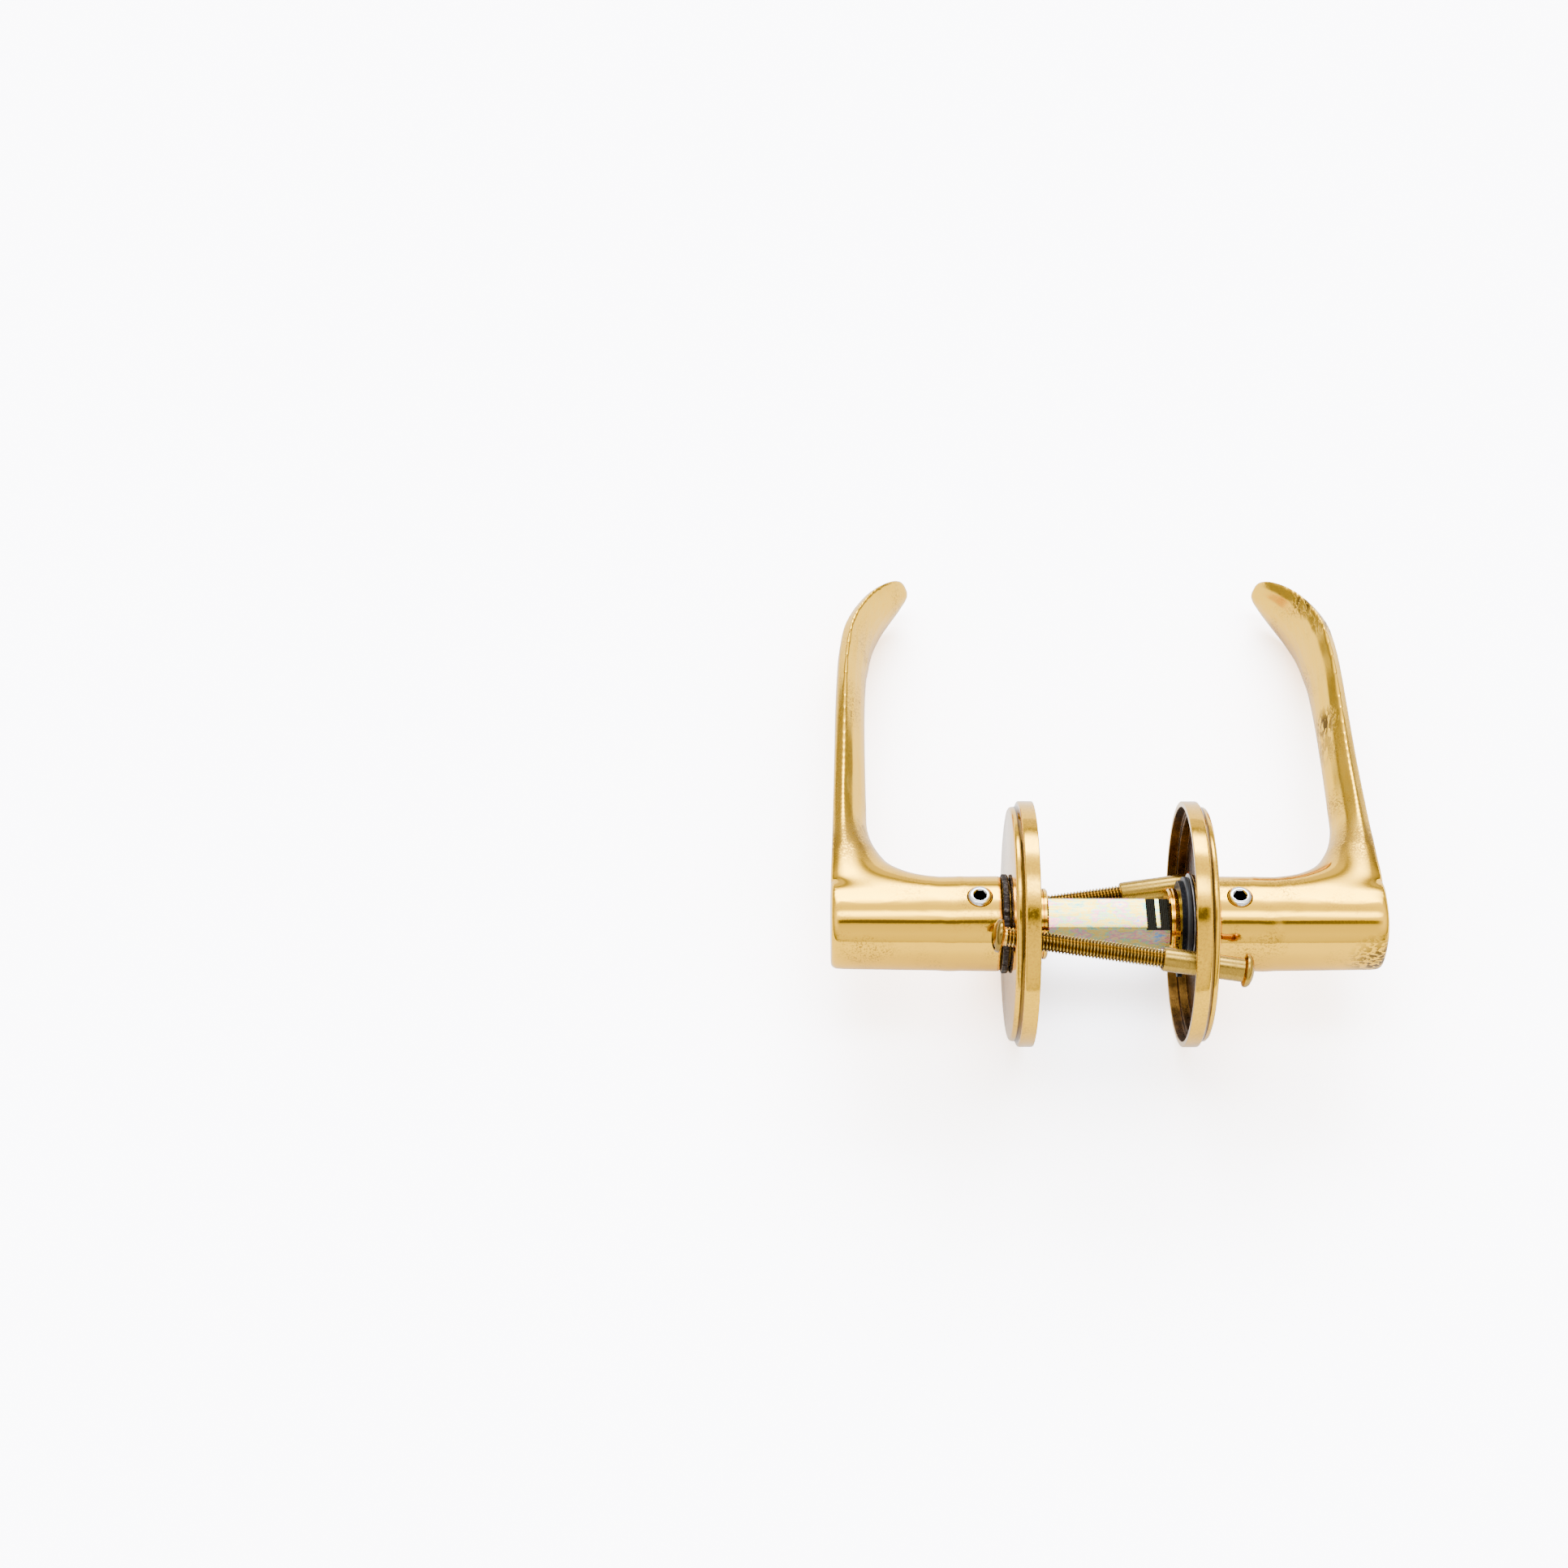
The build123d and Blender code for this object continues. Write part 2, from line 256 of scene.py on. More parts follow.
def turned(outline, count=192, wobble=None):
    """Points and faces of a closed (x, r) outline turned about the X axis."""
    outline = np.asarray(outline, float)
    rings = np.zeros((count, len(outline), 3))
    for j in range(count):
        turn = 2 * math.pi * j / count
        x, r = outline[:, 0].copy(), outline[:, 1].copy()
        if wobble:
            x, r = wobble(x, r, turn)
        rings[j] = np.stack((x, r * math.cos(turn), r * math.sin(turn)), 1)
    return skin(rings, looped=True)


def rod(outline, count=64):
    """Points and faces of an open (x, r) outline turned about the X axis, capped at both ends."""
    turns = around(count)
    return skin([hoop(x, r, turns) for x, r in outline])


def joined(*solids):
    """Several (points, faces) as one."""
    points, faces, start = [], [], 0
    for more, theirs in solids:
        points.append(np.asarray(more, float))
        faces += [tuple(start + i for i in f) for f in theirs]
        start += len(more)
    return np.concatenate(points), faces


def settled(obj):
    """Works the object's modifiers into its mesh."""
    bpy.context.view_layer.update()
    graph = bpy.context.evaluated_depsgraph_get()
    mesh = bpy.data.meshes.new_from_object(obj.evaluated_get(graph))
    obj.modifiers.clear()
    obj.data = mesh
    return obj


def carved(obj, how, points, faces):
    """Joins a closed solid to the object or cuts it away."""
    cutter = mesh_object("cutter", points, outwards(points, faces))
    step = obj.modifiers.new("carve", "BOOLEAN")
    step.operation, step.solver, step.object = how, "MANIFOLD", cutter
    before = len(obj.data.polygons)
    settled(obj)
    bpy.data.objects.remove(cutter)
    if len(obj.data.polygons) < before // 2:
        raise RuntimeError(f"{obj.name}: a cut lost most of its faces")
    return obj


def finished(obj, material, body, slot, *nodes, crease=32.0):
    """Smooth shading up to a crease angle, the material, and the piece's place in the frame."""
    obj.data.shade_smooth()
    obj.data.set_sharp_from_angle(angle=math.radians(crease))
    obj.data.materials.clear()
    obj.data.materials.append(material)
    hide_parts(*nodes)
    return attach(obj, body)


# ---- materials ----------------------------------------------------------------------------------
def add(tree, kind, *inputs, **settings):
    """Adds a node with its settings and gives back its first output. The inputs are values or other
    nodes' outputs, in the order of the node's open sockets; None leaves a socket as it is."""
    node = tree.nodes.new("ShaderNode" + kind)
    for key, value in settings.items():
        setattr(node, key, value)
    for socket, value in zip([s for s in node.inputs if s.enabled], inputs):
        if isinstance(value, bpy.types.NodeSocket):
            tree.links.new(value, socket)
        elif value is not None:
            socket.default_value = value
    return next(s for s in node.outputs if s.enabled)


def surface(name, **shader):
    """A new material: its tree, its shader node and the place on the piece in mm."""
    material = bpy.data.materials.new(name)
    material.use_nodes = True
    tree = material.node_tree
    shade = tree.nodes["Principled BSDF"]
    for key, value in shader.items():
        shade.inputs[key.replace("_", " ")].default_value = value
    at = add(tree, "TexCoord").node.outputs["Object"]
    return material, tree, shade, add(tree, "VectorMath", at, 1 / MM, operation="SCALE")


def feed(tree, shade, colour, dull, height, depth):
    """Feeds the shader its colour, its roughness and a relief of that many mm."""
    tree.links.new(colour, shade.inputs["Base Color"])
    tree.links.new(dull, shade.inputs["Roughness"])
    tree.links.new(add(tree, "Bump", 1.0, depth * MM, None, height), shade.inputs["Normal"])


def grain(tree, place, cell, detail=3.0, stretch=(1, 1, 1), rough=0.55):
    """A noise with cells of that many mm, longer where stretch is small."""
    at = add(tree, "VectorMath", place, stretch, operation="MULTIPLY")
    return add(tree, "TexNoise", at, 1 / cell, detail, rough)


def off_axis(tree, place, point=(0, 0, 0), way=(1, 0, 0)):
    """Distance in mm from a line through a point."""
    arm = add(tree, "VectorMath", place, point, operation="SUBTRACT")
    cross = add(tree, "VectorMath", arm, way, operation="CROSS_PRODUCT")
    return add(tree, "VectorMath", cross, operation="LENGTH")


def from_plane(tree, place, x=0.0):
    """Distance in mm from the plane square to the spindle at x."""
    arm = add(tree, "Math", add(tree, "SeparateXYZ", place), x, operation="SUBTRACT")
    return add(tree, "Math", arm, operation="ABSOLUTE")


def near_spots(tree, place, spots):
    """1 at any of the (x, y, z, radius) spots in mm, falling to 0 at the spot's radius."""
    share = 0.0
    for *spot, radius in spots:
        away = add(tree, "VectorMath", place, spot, operation="DISTANCE")
        near = add(tree, "MapRange", away, 0.35 * radius, radius, 1.0, 0.0)
        share = add(tree, "Math", share, near, operation="MAXIMUM")
    return share


def filled(band, stops):
    """Gives a colour ramp its stops, from (position, colour) pairs."""
    elements = band.node.color_ramp.elements
    while len(elements) < len(stops):
        elements.new(0.5)
    for element, (position, tint) in zip(elements, stops):
        element.position, element.color = position, tint
    return band


def brass(name, body, dark, roughness, film):
    """Brass that was polished years ago and handled since: bright, with a thin uneven brown film,
    fine scratches and a little grain. Also gives its colour and its roughness, to build on."""
    material, tree, shade, place = surface(name, Metallic=1.0)
    patches = add(tree, "MapRange", grain(tree, place, 9.0, 4.0), 0.5, 0.72)
    specks = grain(tree, place, 0.45, 2.0)
    stain = add(tree, "Math", patches, add(tree, "MapRange", specks, 0.45, 0.62),
                operation="MULTIPLY")
    toned = add(tree, "Mix", add(tree, "MapRange", specks, 0.3, 0.75, 0.0, 0.3), body, dark,
                data_type="RGBA")
    filmed = add(tree, "Math", stain, film, operation="MULTIPLY")
    colour = add(tree, "Mix", filmed, toned, dark, data_type="RGBA")
    lines = grain(tree, place, 0.5, 2.0, (1.0, 0.08, 1.0))
    rubbed = add(tree, "MapRange", lines, 0.35, 0.7, roughness - 0.03, roughness + 0.08)
    dull = add(tree, "Math", stain, 0.2, rubbed, operation="MULTIPLY_ADD")
    feed(tree, shade, colour, dull, add(tree, "Math", lines, 0.5, specks, operation="MULTIPLY_ADD"),
           0.004)
    return material, tree, shade, place, colour, dull


def cast_brass():
    """Cast lever brass: the neck buffed to a mirror, the grip brushed and paler, with brown film in
    the casting pores and at the root of the grip, painted shade on the grip's outer side, and dark
    nicks where it was knocked."""
    material, tree, shade, place = surface("Buffed cast brass", Metallic=1.0)
    tone, droop = colours(), sizes().droop
    along = add(tree, "VectorMath", place, (0.0, math.cos(droop), -math.sin(droop)),
                operation="DOT_PRODUCT")
    brushed = add(tree, "MapRange", along, 11.0, 20.0)
    patches = add(tree, "MapRange", grain(tree, place, 11.0, 4.0), 0.5, 0.7)
    # 0.25 mm casting pores are drawn 0.4 mm wide, so that they show
    specks = grain(tree, place, 0.4, 2.0)
    stain = add(tree, "Math", patches, add(tree, "MapRange", specks, 0.48, 0.62),
                operation="MULTIPLY")
    # film is left in the pores where the grip leaves the neck
    root = add(tree, "Math", near_spots(tree, place, GRIP_ROOTS),
               add(tree, "MapRange", specks, 0.3, 0.52), operation="MULTIPLY")
    stain = add(tree, "Math", stain, root, operation="MAXIMUM")
    # painted shade: the outer side of the grip is painted darker, in the film's brown and broken up
    # by the pores
    behind = add(tree, "Math", OUTER_FACE, from_plane(tree, place), operation="SUBTRACT")
    side = add(tree, "Math", add(tree, "MapRange", behind, 3.4, 2.2), brushed, operation="MULTIPLY")
    side = add(tree, "Math", side, add(tree, "MapRange", specks, 0.3, 0.7, 0.1, 0.6),
               operation="MULTIPLY")
    stain = add(tree, "Math", stain, side, operation="MAXIMUM")
    streaks = grain(tree, place, 0.5, 3.0, (1.0, 0.08, 1.0))
    cuts = add(tree, "MapRange", grain(tree, place, 1.0, 2.0, (0.9, 0.4, 1.4)), 0.46, 0.52)
    nicked = add(tree, "Math", near_spots(tree, place, KNOCKS), cuts, operation="MULTIPLY")
    pale = add(tree, "Math", add(tree, "MapRange", streaks, 0.35, 0.7), brushed,
               operation="MULTIPLY")
    colour = add(tree, "Mix", pale, tone.brass, tone.brass_pale, data_type="RGBA")
    filmed = add(tree, "Math", stain, 0.75, operation="MULTIPLY")
    colour = add(tree, "Mix", filmed, colour, tone.tarnish_and_shade, data_type="RGBA")
    colour = add(tree, "Mix", add(tree, "Math", nicked, 0.9, operation="MULTIPLY"), colour,
                 srgb("#33240F"), data_type="RGBA")
    dull = add(tree, "MapRange", specks, 0.3, 0.7, 0.05, 0.09)
    for share, more in ((stain, 0.2), (brushed, 0.09), (nicked, 0.3)):
        dull = add(tree, "Math", share, more, dull, operation="MULTIPLY_ADD")
    height = add(tree, "Math", streaks, 0.4, add(tree, "Math", specks, 0.6, operation="MULTIPLY"),
                 operation="MULTIPLY_ADD")
    height = add(tree, "Math", nicked, -22.0, height, operation="MULTIPLY_ADD")
    feed(tree, shade, colour, dull, height, 0.004)
    return material


def pressed_brass():
    """Pressed sheet brass of the roses: polished outside, dark brown inside, where no buff reached,
    and darker brown along the step between the band and the front plate."""
    tone, s = colours(), sizes()
    material, tree, shade, place, colour, dull = brass(
        "Polished sheet brass", tone.brass, tone.tarnish_and_shade, roughness=0.08, film=0.4)
    out, radius = from_plane(tree, place), off_axis(tree, place)
    step, step_r = RIM + s.rose_band, s.rose_radius - s.rose_step
    # darker brown along the step between the band and the front plate
    corner = add(tree, "Math", add(tree, "MapRange", out, step, step + 0.15),
                 add(tree, "MapRange", out, step + 0.7, step + 0.45), operation="MULTIPLY")
    corner = add(tree, "Math", corner, add(tree, "MapRange", radius, step_r - 0.15, step_r - 0.05),
                 operation="MULTIPLY")
    corner = add(tree, "Math", corner, 0.85, operation="MULTIPLY")
    colour = add(tree, "Mix", corner, colour, srgb("#4A3412"), data_type="RGBA")
    plate, band = ROSE_FACE - s.rose_wall, s.rose_radius - s.rose_wall
    inside = add(tree, "Math", add(tree, "MapRange", out, plate + 0.3, plate + 0.1),
                 add(tree, "MapRange", radius, band + 0.15, band), operation="MULTIPLY")
    film = add(tree, "Mix", add(tree, "MapRange", grain(tree, place, 2.5, 5.0), 0.35, 0.7),
               srgb("#3E280C"), srgb("#6B4A1C"), data_type="RGBA")
    colour = add(tree, "Mix", inside, colour, film, data_type="RGBA")
    tree.links.new(colour, shade.inputs["Base Color"])
    dull = add(tree, "Math", inside, 0.2, dull, operation="MULTIPLY_ADD")
    tree.links.new(dull, shade.inputs["Roughness"])
    return material


def turned_brass():
    """Turned free-cutting brass, left as it came off the lathe."""
    return brass("Turned brass", srgb("#96702C"), colours().tarnish_and_shade, roughness=0.2, film=0.5)[0]


def sleeve_brass():
    """Drawn brass tube, satin and a little brown from handling."""
    return brass("Satin drawn brass", srgb("#AA8630"), colours().tarnish_and_shade, roughness=0.24,
                 film=0.5)[0]


def thread_brass(place_name, point, way):
    """Rolled brass thread, a deep gold, with painted shade in its grooves and a darker brown head.
    """
    r = sizes().screw_radius
    material, tree, shade, place, colour, _ = brass(
        f"Shade-painted rolled brass, {place_name}", colours().bolt_brass, srgb("#5A4210"), roughness=0.17,
        film=0.6)
    arm = add(tree, "VectorMath", place, point, operation="SUBTRACT")
    along = add(tree, "VectorMath", arm, way, operation="DOT_PRODUCT")
    # the underside of the head lies 3.3 mm before the middle of the rose's plate
    head = add(tree, "Math", add(tree, "MapRange", along, -3.1, -3.5), 0.8, operation="MULTIPLY")
    # the head is painted a darker brown
    colour = add(tree, "Mix", head, colour, srgb("#5A3E10"), data_type="RGBA")
    # painted shade: the thread's grooves are painted dark brown by their depth
    groove = add(tree, "MapRange", off_axis(tree, place, point, way), r - 0.05, r - 0.24)
    groove = add(tree, "Math", groove, 0.9, operation="MULTIPLY")
    colour = add(tree, "Mix", groove, colour, srgb("#544018"), data_type="RGBA")
    tree.links.new(colour, shade.inputs["Base Color"])
    return material


def zinc_plate():
    """Zinc plate under a yellow passivation film: pale silver with straw, green and pink tints in
    patches a few millimetres across, and fine drawing lines along the bar."""
    material, tree, shade, place = surface("Passivated zinc plate", Metallic=1.0)
    droop, half = sizes().droop, sizes().spindle_side / 2
    tints = add(tree, "ValToRGB", grain(tree, place, 4.5, 5.0, (0.6, 1, 1), 0.7))
    filled(tints, [(share, srgb(text)) for share, text in (
        (0.36, "#5FA890"), (0.43, "#D6BE62"), (0.47, "#E6B024"), (0.51, "#86C28A"),
        (0.55, "#DC6E90"), (0.59, "#DCC470"), (0.64, "#7494CC"))])
    lines = grain(tree, place, 0.35, 3.0, (0.05, 1, 1))
    scratches = add(tree, "MapRange", grain(tree, place, 1.2, 6.0, (0.5, 1, 1), 0.8), 0.62, 0.7)
    colour = add(tree, "Mix", add(tree, "Math", scratches, 0.6, operation="MULTIPLY"), tints,
                 srgb("#5E625A"), data_type="RGBA")
    # painted shade: the sides of the bar are painted darker and bluer than its top
    up = add(tree, "VectorMath", place, (0.0, math.sin(droop), math.cos(droop)),
             operation="DOT_PRODUCT")
    colour = add(tree, "Mix", add(tree, "MapRange", up, half - 0.05, half - 0.35, 0.0, 0.5), colour,
                 srgb("#1F3A36"), data_type="RGBA")
    # the floors of the two sawn marks are painted near black
    low = add(tree, "Math", add(tree, "MapRange", up, half - 0.06, half - 0.3),
              add(tree, "MapRange", up, half - 0.9, half - 0.7), operation="MULTIPLY")
    marks = add(tree, "MapRange", from_plane(tree, place, NOTCH_MIDDLE), 2.6, 2.5)
    marks = add(tree, "Math", low, marks, operation="MULTIPLY")
    colour = add(tree, "Mix", marks, colour, srgb("#15140F"), data_type="RGBA")
    dull = add(tree, "MapRange", lines, 0.3, 0.7, 0.2, 0.32)
    feed(tree, shade, colour, dull, add(tree, "Math", lines, scratches, operation="ADD"), 0.004)
    return material


def bright_nickel(end, point, up, top):
    """Bright nickel plate on a hardened screw: near white, with faint wear, and painted shade, near
    black, in its socket.
    """
    material, tree, shade, place = surface(f"Bright nickel plate, {end}", Metallic=1.0)
    wear = grain(tree, place, 0.5, 3.0)
    colour = add(tree, "Mix", add(tree, "MapRange", wear, 0.55, 0.75, 0.0, 0.5), colours().nickel,
                 srgb("#8C8880"), data_type="RGBA")
    height = add(tree, "VectorMath", place, up, operation="DOT_PRODUCT")
    # painted shade: the hex socket is painted near black
    socket = add(tree, "Math", add(tree, "MapRange", height, top - 0.2, top - 0.35),
                 add(tree, "MapRange", off_axis(tree, place, point, up), 1.52, 1.46),
                 operation="MULTIPLY")
    colour = add(tree, "Mix", socket, colour, srgb("#0E0C0A"), data_type="RGBA")
    feed(tree, shade, colour, add(tree, "MapRange", wear, 0.3, 0.7, 0.08, 0.2), wear, 0.002)
    return material


def worn_steel(name, base, light, roughness):
    """Steel with a dark surface film, rubbed bright in flecks."""
    material, tree, shade, place = surface(name, Metallic=1.0)
    flecks = grain(tree, place, 0.6, 4.0, rough=0.7)
    colour = add(tree, "Mix", add(tree, "MapRange", flecks, 0.5, 0.75), base, light,
                 data_type="RGBA")
    dull = add(tree, "MapRange", flecks, 0.3, 0.7, roughness + 0.12, roughness)
    feed(tree, shade, colour, dull, flecks, 0.02)
    return material


def black_nylon():
    """Moulded black nylon: satin, with a fine pebble."""
    material, tree, shade, place = surface("Moulded black nylon", Metallic=0.0,
                                           Specular_IOR_Level=0.5)
    pebble = grain(tree, place, 0.3, 2.0)
    colour = add(tree, "Mix", pebble, srgb("#141312"), srgb("#26231F"), data_type="RGBA")
    feed(tree, shade, colour, add(tree, "MapRange", pebble, 0.3, 0.7, 0.38, 0.55), pebble, 0.01)
    return material


# ---- levers -------------------------------------------------------------------------------------
def in_lever(side, behind, along, up):
    """Lever coordinates in mm, from its outer face, along the grip and upwards, as points."""
    droop = sizes().droop
    behind, along, up = (np.asarray(v, float) for v in (behind, along, up))
    return np.stack(np.broadcast_arrays(
        side * (OUTER_FACE - behind),
        math.cos(droop) * along + math.sin(droop) * up,
        math.cos(droop) * up - math.sin(droop) * along), -1)


def evenly(outline, count):
    """A closed outline as count points, evenly spaced."""
    outline = np.asarray(outline, float)
    outline = np.vstack((outline, outline[:1]))
    run = np.concatenate(([0], np.cumsum(np.linalg.norm(np.diff(outline, axis=0), axis=1))))
    at = np.linspace(0, run[-1], count, endpoint=False)
    return np.stack((np.interp(at, run, outline[:, 0]), np.interp(at, run, outline[:, 1])), 1)


# points around each section of the arm, and rounds of smoothing that buff the casting all over and
# grind the root of the arm
SECTION_POINTS = 96
BUFFING, GRINDING = 9, 320
# middle and half size of the root of the arm, behind the outer face and along the grip, mm
ROOT_MIDDLE, ROOT_REACH = (8.0, 7.5), (14.0, 9.5)
# rounding of the levers' outer edges, mm
EDGE_ROUND = 1.6
# distance along the grip, and how far its outer side lies behind the outer face there, mm
OUTER_LINE = ((-12.0, 0.0), (9.0, 0.0), (18.0, 0.35), (35.0, 0.85), (53.0, 1.3), (64.0, 1.45),
              (70.0, 0.0))


def round_section(power=2.5):
    """A section one wide and one high, between a circle and a square, from its outer side on."""
    turns = np.linspace(0, 2 * math.pi, 721)[:-1]
    c, s = -np.cos(turns), np.sin(turns)
    corner = [0.5 * np.sign(v) * np.abs(v) ** (2 / power) for v in (c, s)]
    return evenly(np.stack(corner, 1), SECTION_POINTS)


def grip_section():
    """The grip's section: a flat outer side, a sloped band up to a crease, then a slightly crowned
    back that slopes down to the middle of the door side."""
    upper = [(-0.5, 0.0), (-0.5, 0.30), (-0.45, 0.40), (-0.18, 0.5), (0.12, 0.37), (0.34, 0.235),
             (0.46, 0.12)]
    lower = [(a, -b) for a, b in reversed(upper[1:])]
    return evenly(upper + [(0.5, 0.0)] + lower, SECTION_POINTS)


def arm_stations():
    """The arm's line: behind the outer face, along, heading, thickness, height, and how far the
    section has turned from the neck's round one into the grip's."""
    s = sizes()
    centre, inner = 24.0, 15.0
    outer_neck, outer_corner = centre + s.neck_along / 2, centre + 1.2
    stations = []
    for turn, near, far, height, shape in (
            (-12, inner, outer_neck, s.neck_across * 0.99, 0.0),
            (0, inner, outer_neck, s.neck_across * 0.99, 0.0),
            (22.5, inner, outer_neck, s.neck_across * 0.97, 0.0),
            (45, inner, outer_corner / math.cos(math.pi / 4), s.neck_across * 0.9, 0.15),
            (67.5, inner, outer_corner / math.sin(math.radians(67.5)), s.neck_across * 0.8, 0.5)):
        reach, a = (near + far) / 2, math.radians(turn)
        stations.append((centre - reach * math.sin(a), centre - reach * math.cos(a), turn,
                         far - near, height, shape))
    for along, behind, lean, thickness, height in (
            (24.0, 4.1, 0.0, 8.4, 13.9), (32.0, 4.25, 0.2, 7.6, 13.3),
            (40.0, 4.4, 0.5, 7.2, 13.2), (48.0, 4.55, 1.0, 6.9, 14.2),
            (55.0, 4.7, 1.5, 6.7, 15.7), (62.0, 4.95, 3.5, 6.6, 17.7),
            (68.0, 5.3, 6.0, 6.6, 19.3), (72.5, 5.9, 12.0, 6.8, 20.4),
            (76.5, 6.6, 18.0, 6.8, 20.8), (80.2, 7.8, 24.8, 6.3, 20.6),
            (83.5, 9.3, 31.0, 5.9, 19.6), (86.6, 11.0, 35.5, 5.4, 18.2),
            (89.3, 12.9, 39.0, 4.9, 16.2), (91.6, 14.7, 41.4, 4.4, 13.6),
            (93.3, 16.1, 43.0, 3.8, 11.0), (94.6, 17.3, 44.2, 3.0, 7.8),
            (95.3, 17.9, 45.0, 2.0, 4.6)):
        stations.append((behind, along, 90 + lean, thickness, height, 0.75 if along < 30 else 1.0))
    return np.array(stations)


def smooth_rows(rows, steps=6):
    """Rows of numbers with steps more between each two, on a smooth curve through them."""
    first, last = 2 * rows[0] - rows[1], 2 * rows[-1] - rows[-2]
    padded = np.vstack((first, rows, last))
    out = []
    for i in range(1, len(padded) - 2):
        a, b, c, d = padded[i - 1:i + 3]
        for k in range(steps):
            t = k / steps
            out.append(0.5 * (2 * b + (c - a) * t + (2 * a - 5 * b + 4 * c - d) * t ** 2
                              + (3 * b - a - 3 * c + d) * t ** 3))
    return np.array(out + [rows[-1]])


def root_share(body, side):
    """How far each of the body's points belongs to the root of the arm, from 0 to 1: on its upper
    and lower sides, fading out towards the outer face."""
    places = np.empty(len(body.data.vertices) * 3)
    body.data.vertices.foreach_get("co", places)
    droop = sizes().droop
    x, y, z = places.reshape(-1, 3).T / MM
    behind = OUTER_FACE - side * x
    along = math.cos(droop) * y - math.sin(droop) * z
    up = math.sin(droop) * y + math.cos(droop) * z
    share = 1.6 * (1 - ((behind - ROOT_MIDDLE[0]) / ROOT_REACH[0]) ** 2
                   - ((along - ROOT_MIDDLE[1]) / ROOT_REACH[1]) ** 2)
    return np.clip(np.minimum.reduce((share, np.abs(up) - 3.0, (behind - 0.3) / 3.5)), 0, 1)


def cast_body(end, side):
    """The lever's cast body: the neck and the arm run together, then softened as by buffing."""
    s = sizes()
    blank, grip = round_section(), grip_section()
    neck_rows = []
    shoulder = OUTER_FACE - SHOULDER
    for behind, shrink in (
            (0.0, 1.4), (0.2, 0.95), (0.6, 0.65), (1.2, 0.48), (2.2, 0.38), (12.0, 0.25),
            (24.0, 0.1), (shoulder - 0.5, 0.0), (shoulder - 0.12, 0.15), (shoulder, 0.4)):
        size = np.array((s.neck_along - 2 * shrink, s.neck_across - 2 * shrink))
        outline = blank * size
        neck_rows.append(in_lever(side, behind, outline[:, 0], outline[:, 1]))
    arm_rows = []
    for behind, along, heading, thickness, height, shape in smooth_rows(arm_stations()):
        outline = (blank * (1 - shape) + grip * shape) * (thickness, height)
        a = math.radians(heading)
        # a section's first side looks away from the bend's centre
        w = behind + outline[:, 0] * math.sin(a)
        u = along + outline[:, 0] * math.cos(a)
        # the outer face has a rounded edge, as the neck's end has
        edge = np.clip(np.abs(outline[:, 1]) - (height / 2 - EDGE_ROUND), 0, EDGE_ROUND)
        line = np.interp(u, *zip(*OUTER_LINE)) + EDGE_ROUND - np.sqrt(EDGE_ROUND ** 2 - edge ** 2)
        arm_rows.append(in_lever(side, np.maximum(w, line), u, outline[:, 1]))
    points, faces = joined(skin(neck_rows), skin(arm_rows))
    body = mesh_object(f"cast_lever_{end}", points, faces)
    step = body.modifiers.new("cast", "REMESH")
    step.mode, step.voxel_size, step.use_smooth_shade = "VOXEL", s.casting_grain * MM, True
    step = body.modifiers.new("buff", "SMOOTH")
    step.factor, step.iterations = 0.5, BUFFING
    settled(body)
    # the root of the arm is ground into the neck, and the group takes its share in quarters
    share = root_share(body, side)
    group = body.vertex_groups.new(name="root")
    for level in (1, 2, 3, 4):
        group.add(np.flatnonzero(np.round(share * 4) == level).tolist(), level / 4, "REPLACE")
    step = body.modifiers.new("grind", "SMOOTH")
    step.factor, step.iterations, step.vertex_group = 0.5, GRINDING, "root"
    return settled(body)


def square_prism(side, start, end, half):
    """A square bar along the spindle's axis, turned with the lever."""
    across, up = half * np.array((-1, 1, 1, -1)), half * np.array((-1, -1, 1, 1))
    return skin([in_lever(side, OUTER_FACE - x, across, up) for x in (start, end)])


def upright(side, from_shoulder, profile, count=64):
    """A round solid standing on the spindle's axis in the lever, from (height, radius) rows."""
    turns = around(count)
    behind = OUTER_FACE - SHOULDER - from_shoulder
    return skin([in_lever(side, behind + r * np.cos(turns), r * np.sin(turns), up)
                 for up, r in profile])


class HANDLE_OT_levers(bpy.types.Operator):
    """Cast levers, with the journal, square bore and grub screw hole of each"""
    bl_idname = "handle.levers"
    bl_label = "Levers"

    def execute(self, context):
        s = sizes()
        material = cast_brass()
        for end, side in SIDES.items():
            lever = cast_body(end, side)
            r, groove = s.journal_radius, s.journal_radius - s.journal_groove
            journal = [(SHOULDER + 3.0, r), (CLIP_END + 0.02, r), (CLIP_END + 0.02, groove),
                       (CLIP_START - 0.05, groove), (CLIP_START - 0.05, r), (JOURNAL_END + 1.15, r),
                       (JOURNAL_END + 1.0, r - 0.15), (JOURNAL_END + 0.85, r),
                       (JOURNAL_END + 0.35, r), (JOURNAL_END, r - 0.35)]
            points, faces = rod([(side * x, q) for x, q in journal], 128)
            carved(lever, "UNION", points, faces)
            bore = square_prism(side, JOURNAL_END - 1, OUTER_FACE - BORE_END_WALL,
                                s.spindle_side / 2 + SPINDLE_ROOM)
            carved(lever, "DIFFERENCE", *bore)
            top, hole_r = s.neck_across / 2, s.grub_radius + RUNNING_FIT
            hole = [(3.0, hole_r), (top - 0.45, hole_r), (top + 1.2, s.grub_radius + 0.9)]
            carved(lever, "DIFFERENCE", *upright(side, s.grub_from_shoulder, hole))
            finished(lever, material, "levers", "cast_brass", f"lever_{end}")
        return {"FINISHED"}


